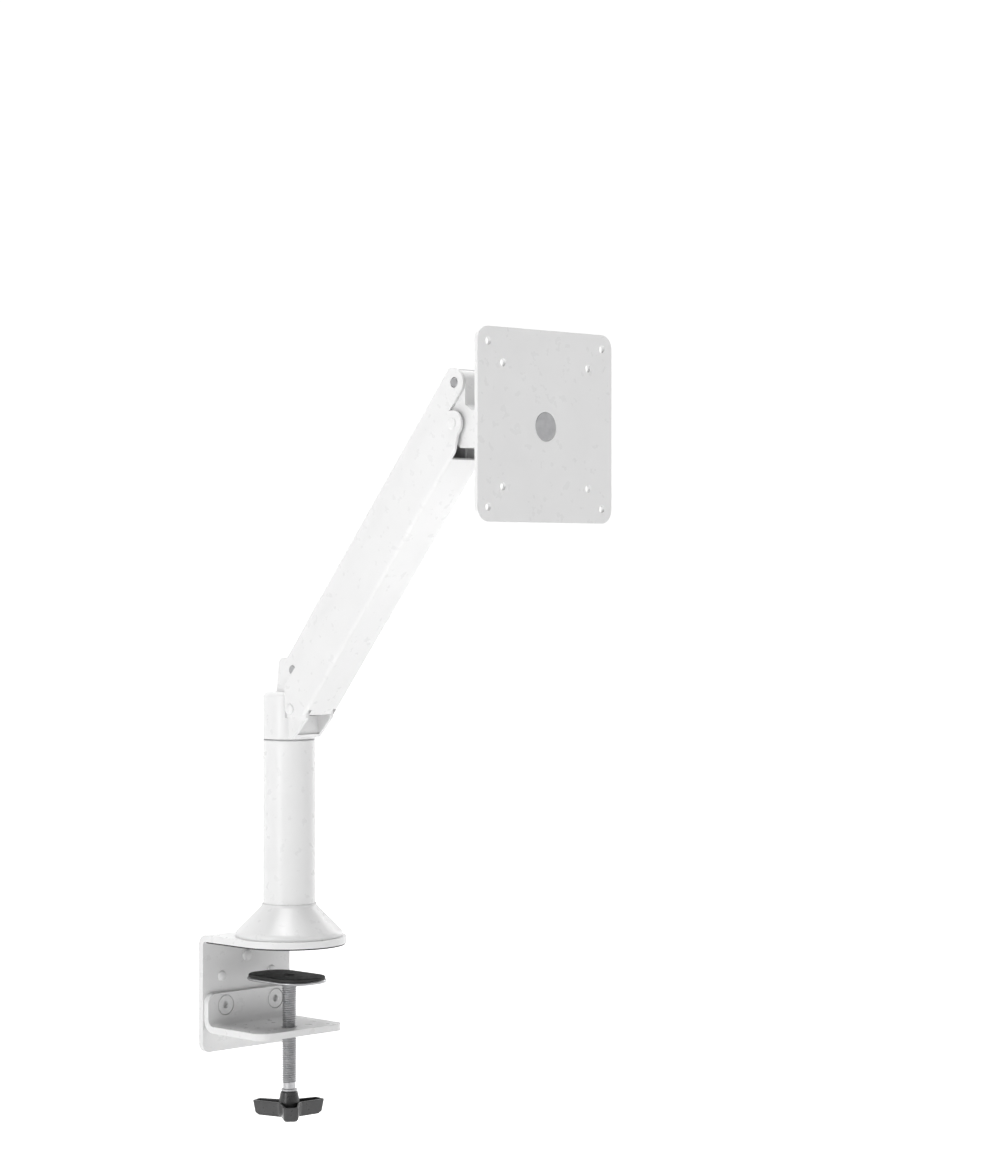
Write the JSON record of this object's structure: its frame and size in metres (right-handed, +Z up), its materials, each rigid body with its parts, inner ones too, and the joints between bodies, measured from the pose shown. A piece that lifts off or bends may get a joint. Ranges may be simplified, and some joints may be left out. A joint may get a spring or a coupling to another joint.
{
  "type": "monitor arm",
  "caption": "Desk-clamped monitor arm: clamp with screw, column, swivelling head, gas-spring lift arm on two links, and a tip that pans, tilts and rolls a square screen plate.",
  "frame": {"origin": "on the column axis at the desktop surface, the underside of the rubber pad under the clamp's top plate", "axes": "+Z up along the column; the screen side is -Y and the desk edge is on +Y; +X is to the right seen from the screen side"},
  "size_m": [0.118, 0.2885, 0.5131],
  "materials": {
    "white_powder_coat": "satin white powder coat with a fine orange peel",
    "black_rubber": "matte black rubber",
    "zinc_steel": "zinc-plated turned steel",
    "dark_steel": "black oxide and black-painted steel",
    "black_plastic": "moulded black plastic with a slight sheen",
    "grey_plastic": "grey bearing plastic"
  },
  "bodies": {
    "base": {"desk_pad": "black_rubber", "clamp_bracket": "white_powder_coat", "lower_bracket": "white_powder_coat", "bracket_screw_left": "white_powder_coat", "bracket_screw_right": "white_powder_coat", "hole_plug_upper_left": "white_powder_coat", "hole_plug_upper_right": "white_powder_coat", "hole_plug_lower_left": "white_powder_coat", "hole_plug_lower_right": "white_powder_coat", "hole_plug_middle": "white_powder_coat", "column_foot": "dark_steel", "foot_screw_1": "dark_steel", "foot_screw_2": "dark_steel", "foot_screw_3": "dark_steel", "base_cover": "white_powder_coat", "column_tube": "white_powder_coat", "swivel_bush": "grey_plastic"},
    "pressure_pad": {"pressure_rubber": "black_rubber", "pressure_plate": "zinc_steel"},
    "screw": {"clamp_screw": "zinc_steel", "pad_rivet": "zinc_steel", "clamp_knob": "black_plastic"},
    "head": {"head_casting": "white_powder_coat", "swivel_spindle": "dark_steel", "retaining_ring": "zinc_steel", "head_sleeve_lower": "grey_plastic", "head_sleeve_upper": "grey_plastic"},
    "tension_adjuster": {"tension_screw": "zinc_steel"},
    "tension_nut": {"tension_block": "dark_steel", "spring_foot_pin": "zinc_steel"},
    "lower_arm": {"lower_link": "white_powder_coat", "root_lower_pin": "zinc_steel", "tip_lower_pin": "zinc_steel", "root_pin_cap_left": "white_powder_coat", "root_pin_cap_right": "white_powder_coat", "tip_pin_cap_left": "white_powder_coat", "tip_pin_cap_right": "white_powder_coat"},
    "upper_arm": {"upper_link": "white_powder_coat", "root_upper_pin": "zinc_steel", "tip_upper_pin": "zinc_steel", "spring_anchor_pin": "zinc_steel"},
    "spring_body": {"gas_spring_foot": "dark_steel", "gas_spring_tube": "dark_steel", "gas_spring_guide": "black_plastic"},
    "spring_rod": {"gas_spring_rod": "zinc_steel", "gas_spring_eye": "dark_steel"},
    "tip": {"tip_bracket": "white_powder_coat"},
    "pan": {"pan_fork": "white_powder_coat", "pan_bolt": "dark_steel", "pan_nut": "zinc_steel", "pan_washer_lower": "grey_plastic", "pan_washer_upper": "grey_plastic"},
    "tilt": {"screen_carrier": "white_powder_coat", "tilt_bolt": "dark_steel", "tilt_nut": "zinc_steel", "roll_washer": "grey_plastic"},
    "roll": {"screen_plate": "white_powder_coat", "roll_rivet": "zinc_steel"}
  },
  "joints": [
    {"name": "pad_advance", "type": "slide", "parent": "base", "child": "pressure_pad", "axis": [0, 0, 1], "range_m": [-0.02875, 0.01875]},
    {"name": "screw_turn", "type": "hinge", "parent": "pressure_pad", "child": "screw", "pos_m": [0, 0, -0.06], "axis": [0, 0, 1], "range_deg": [-6905, 4505]},
    {"name": "head_swivel", "type": "hinge", "parent": "base", "child": "head", "pos_m": [0, 0, 0.137], "axis": [0, 0, 1], "range_deg": [-180, 180]},
    {"name": "tension_turn", "type": "hinge", "parent": "head", "child": "tension_adjuster", "pos_m": [0, -0.005, 0.185], "axis": [0, 0, 1], "range_deg": [-365, 365]},
    {"name": "tension_travel", "type": "slide", "parent": "head", "child": "tension_nut", "axis": [0, 0, 1], "range_m": [-0.001, 0.001]},
    {"name": "arm_lift", "type": "hinge", "parent": "head", "child": "lower_arm", "pos_m": [0, -0.0167, 0.1585], "axis": [1, 0, 0], "range_deg": [0, 65]},
    {"name": "upper_link_swing", "type": "hinge", "parent": "head", "child": "upper_arm", "pos_m": [0, -0.0167, 0.1845], "axis": [1, 0, 0], "range_deg": [0, 65]},
    {"name": "spring_swing", "type": "hinge", "parent": "tension_nut", "child": "spring_body", "pos_m": [0, -0.0187, 0.1705], "axis": [1, 0, 0], "range_deg": [0, 64]},
    {"name": "spring_stroke", "type": "slide", "parent": "spring_body", "child": "spring_rod", "axis": [0, -0.6371, 0.7708], "range_m": [-0.0148, 0]},
    {"name": "tip_level", "type": "hinge", "parent": "lower_arm", "child": "tip", "pos_m": [0, -0.17097, 0.34235], "axis": [1, 0, 0], "range_deg": [-65, 0]},
    {"name": "tip_pan", "type": "hinge", "parent": "tip", "child": "pan", "pos_m": [0, -0.19597, 0.33855], "axis": [0, 0, 1], "range_deg": [-90, 90]},
    {"name": "screen_tilt", "type": "hinge", "parent": "pan", "child": "tilt", "pos_m": [0, -0.21697, 0.33855], "axis": [1, 0, 0], "range_deg": [-30, 20]},
    {"name": "screen_roll", "type": "hinge", "parent": "tilt", "child": "roll", "pos_m": [0, -0.23997, 0.33855], "axis": [0, 1, 0], "range_deg": [-90, 90]}
  ],
  "couplings": [
    {"joint": "screw_turn", "follows": "pad_advance", "rad_per_m": 4188.8},
    {"joint": "tension_turn", "follows": "tension_travel", "rad_per_m": -6283.2},
    {"joint": "upper_link_swing", "follows": "arm_lift", "ratio": 1},
    {"joint": "tip_level", "follows": "arm_lift", "ratio": -1},
    {"joint": "spring_swing", "follows": "arm_lift", "ratio": 0.9814},
    {"joint": "spring_stroke", "follows": "arm_lift", "m_per_rad": -0.01287}
  ]
}
